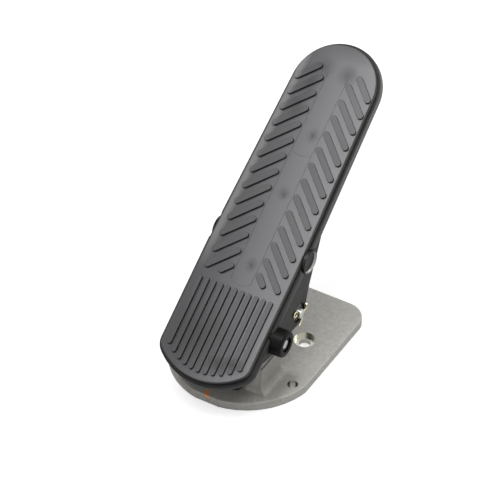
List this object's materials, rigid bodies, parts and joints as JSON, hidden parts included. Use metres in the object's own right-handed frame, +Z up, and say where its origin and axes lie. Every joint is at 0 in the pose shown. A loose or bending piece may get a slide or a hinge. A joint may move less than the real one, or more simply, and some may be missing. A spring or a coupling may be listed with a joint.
{
  "type": "foot brake treadle on mounting plate",
  "caption": "Long ribbed rubber-covered foot treadle hinged over a rounded grey mounting plate, with a roller under the pedal pressing on a booted plunger.",
  "frame": {"origin": "centre of the mounting plate's round front edge, on the plate's underside", "axes": "+X to the side of the split pin, +Y from the heel of the pedal towards its toe, +Z up, away from the floor"},
  "size_m": [0.1188, 0.2396, 0.1958],
  "materials": {
    "cast_aluminium": "as-cast, machined at the counterbores",
    "black_paint": "semi-gloss black paint over a casting",
    "black_rubber": "moulded, matt sheen",
    "boot_rubber": "moulded, matt",
    "bright_steel": "ground",
    "yellow_zinc": "yellow zinc plate",
    "sintered_bronze": "sintered",
    "black_nylon": "moulded"
  },
  "bodies": {
    "base": {"mounting_plate": "cast_aluminium", "fulcrum_pin": "bright_steel", "stop_button_left": "black_rubber", "stop_button_right": "black_rubber", "plunger_boot": "boot_rubber"},
    "pedal": {"treadle": "black_paint", "treadle_cover": "black_rubber", "fulcrum_bushing_left": "black_nylon", "fulcrum_bushing_right": "black_nylon", "roller_pin": "bright_steel", "pin_washer": "bright_steel", "cotter_pin": "yellow_zinc"},
    "roller_body": {"roller": "bright_steel", "roller_bushing": "sintered_bronze"},
    "plunger_body": {"plunger": "bright_steel"}
  },
  "joints": [
    {"name": "treadle_pivot", "type": "hinge", "parent": "base", "child": "pedal", "pos_m": [0, -0.0259, 0.0556], "axis": [-1, 0, 0], "range_deg": [0, 15], "stiffness_Nm_per_rad": 8, "springref_deg": -28.65},
    {"name": "plunger_slide", "type": "slide", "parent": "base", "child": "plunger_body", "axis": [0, 0, -1], "range_m": [0, 0.0102], "deforming": ["plunger_boot"]},
    {"name": "roller_spin", "type": "hinge", "parent": "pedal", "child": "roller_body", "pos_m": [0, 0.0125, 0.0526], "axis": [1, 0, 0], "continuous": true}
  ],
  "couplings": [
    {"joint": "plunger_slide", "follows": "treadle_pivot", "m_per_rad": 0.0385}
  ]
}
